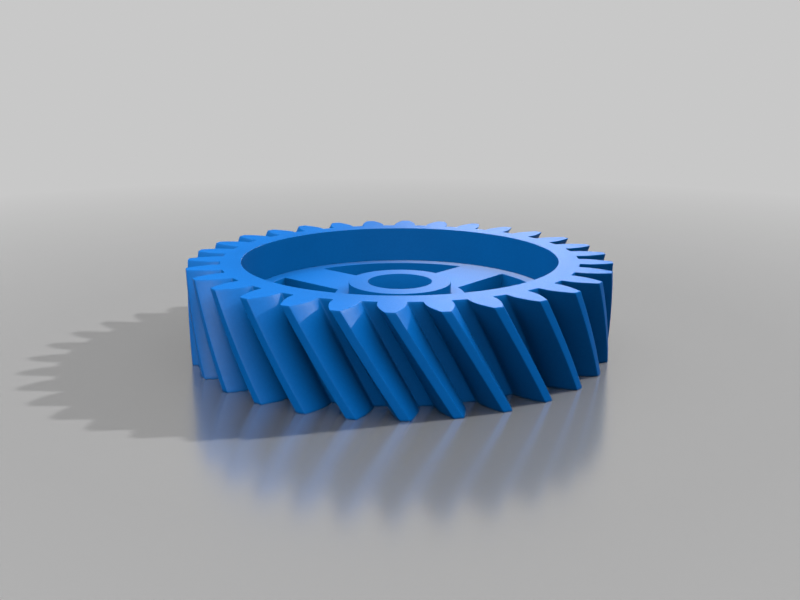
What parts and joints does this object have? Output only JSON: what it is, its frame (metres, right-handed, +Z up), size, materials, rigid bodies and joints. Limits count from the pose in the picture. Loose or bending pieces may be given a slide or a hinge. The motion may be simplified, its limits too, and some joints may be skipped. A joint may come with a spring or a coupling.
{
  "type": "helical gear",
  "caption": "Small left-hand helical idler gear: a toothed rim on a spoked web, turning on a plain hub sleeve for an axle.",
  "frame": {"origin": "centre of the underside, on the gear's axis", "axes": "+Z up along the gear's axis, out of the hub; +X and +Y along two of the four spokes"},
  "size_m": [0.0324, 0.0324, 0.007],
  "materials": {
    "gear_plastic": "smooth satin blue plastic",
    "sleeve_plastic": "smooth satin blue plastic, bore polished by the axle"
  },
  "bodies": {
    "sleeve": {"hub_sleeve": "sleeve_plastic"},
    "gear_wheel": {"toothed_rim": "gear_plastic", "spoked_web": "gear_plastic"}
  },
  "joints": [
    {"name": "gear_spin", "type": "hinge", "parent": "sleeve", "child": "gear_wheel", "pos_m": [0, 0, 0], "axis": [0, 0, 1], "continuous": true}
  ]
}
